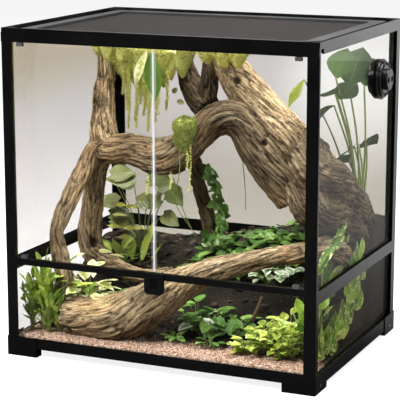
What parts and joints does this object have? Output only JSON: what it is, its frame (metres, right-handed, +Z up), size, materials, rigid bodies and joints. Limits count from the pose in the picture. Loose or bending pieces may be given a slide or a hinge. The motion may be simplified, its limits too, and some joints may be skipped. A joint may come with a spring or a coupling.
{
  "type": "reptile terrarium",
  "caption": "Glass reptile terrarium in a black frame, with two front doors, a mesh top cover, cable inlets, a side port, soil, driftwood and plants.",
  "frame": {"origin": "on the table, under the middle of the whole outline", "axes": "+X to the right seen from the front, +Y from the front to the back, +Z up"},
  "size_m": [0.623, 0.46, 0.61],
  "materials": {
    "frame_black": "fine satin black moulding",
    "fixed_glass": "clear float glass",
    "door_glass": "clear tempered glass",
    "hinge_grey": "grey clip with a steel pin",
    "seam_clear": "translucent strip",
    "thumb_black": "satin black",
    "screen_black": "powder coated",
    "mesh_wire": "woven wire, dark grey",
    "port_black": "glossy black",
    "screw_steel": "zinc plated",
    "bedding_soil": "gravel in front, dark soil behind",
    "driftwood": "weathered bark, dark and light grain",
    "leaves": "green leaves, some with yellow edges",
    "moss": "soft yellow-green moss"
  },
  "bodies": {
    "tank": {"corner_foot_front_left": "frame_black", "corner_foot_front_right": "frame_black", "corner_foot_back_left": "frame_black", "corner_foot_back_right": "frame_black", "base_rail_front": "frame_black", "base_rail_back": "frame_black", "base_rail_left": "frame_black", "base_rail_right": "frame_black", "lower_post_front_left": "frame_black", "lower_post_front_right": "frame_black", "lower_post_back_left": "frame_black", "lower_post_back_right": "frame_black", "mid_rail_front": "frame_black", "mid_rail_back": "frame_black", "mid_rail_left": "frame_black", "mid_rail_right": "frame_black", "upper_post_front_left": "frame_black", "upper_post_front_right": "frame_black", "upper_post_back_left": "frame_black", "upper_post_back_right": "frame_black", "top_rail_front": "frame_black", "top_rail_back": "frame_black", "top_rail_left": "frame_black", "top_rail_right": "frame_black", "top_corner_front_left": "frame_black", "top_corner_front_right": "frame_black", "top_corner_back_left": "frame_black", "top_corner_back_right": "frame_black", "floor_pane": "fixed_glass", "lower_pane_front": "fixed_glass", "lower_pane_back": "fixed_glass", "lower_pane_left": "fixed_glass", "lower_pane_right": "fixed_glass", "upper_pane_back": "fixed_glass", "upper_pane_left": "fixed_glass", "upper_pane_right": "fixed_glass", "latch_housing": "frame_black", "port_flange": "port_black", "port_nut": "port_black", "frame_screws": "screw_steel", "bedding": "bedding_soil", "driftwood_arch": "driftwood", "driftwood_log": "driftwood", "plants_left": "leaves", "plants_right": "leaves", "tall_plant": "leaves", "hanging_moss": "moss"},
    "door_left": {"door_pane_left": "door_glass", "door_hinges_left": "hinge_grey", "door_seam_strip": "seam_clear"},
    "door_right": {"door_pane_right": "door_glass", "door_hinges_right": "hinge_grey"},
    "latch": {"latch_slider": "thumb_black"},
    "screen_cover": {"screen_frame": "screen_black", "screen_mesh": "mesh_wire"},
    "clip_left": {"screen_clip_left": "thumb_black"},
    "clip_right": {"screen_clip_right": "thumb_black"},
    "inlet_left": {"cable_slider_left": "thumb_black"},
    "inlet_right": {"cable_slider_right": "thumb_black"},
    "port_plug": {"port_cap": "port_black"}
  },
  "joints": [
    {"name": "door_left_hinge", "type": "hinge", "parent": "tank", "child": "door_left", "pos_m": [-0.2725, -0.2225, 0.385], "axis": [0, 0, -1], "range_deg": [0, 120]},
    {"name": "door_right_hinge", "type": "hinge", "parent": "tank", "child": "door_right", "pos_m": [0.2595, -0.2225, 0.385], "axis": [0, 0, 1], "range_deg": [0, 120]},
    {"name": "latch_slide", "type": "slide", "parent": "tank", "child": "latch", "axis": [0, 0, 1], "range_m": [0, 0.008]},
    {"name": "screen_cover_lift", "type": "slide", "parent": "tank", "child": "screen_cover", "axis": [0, 0, 1], "range_m": [0, 0.06]},
    {"name": "clip_left_turn", "type": "hinge", "parent": "tank", "child": "clip_left", "pos_m": [-0.2285, -0.2161, 0.604], "axis": [0, 0, 1], "range_deg": [0, 90]},
    {"name": "clip_right_turn", "type": "hinge", "parent": "tank", "child": "clip_right", "pos_m": [0.2155, -0.2161, 0.604], "axis": [0, 0, -1], "range_deg": [0, 90]},
    {"name": "inlet_left_slide", "type": "slide", "parent": "tank", "child": "inlet_left", "axis": [1, 0, 0], "range_m": [0, 0.028]},
    {"name": "inlet_right_slide", "type": "slide", "parent": "tank", "child": "inlet_right", "axis": [-1, 0, 0], "range_m": [0, 0.028]},
    {"name": "port_cap_turn", "type": "hinge", "parent": "tank", "child": "port_plug", "pos_m": [0.2985, 0.124, 0.507], "axis": [1, 0, 0], "range_deg": [0, 90]}
  ]
}
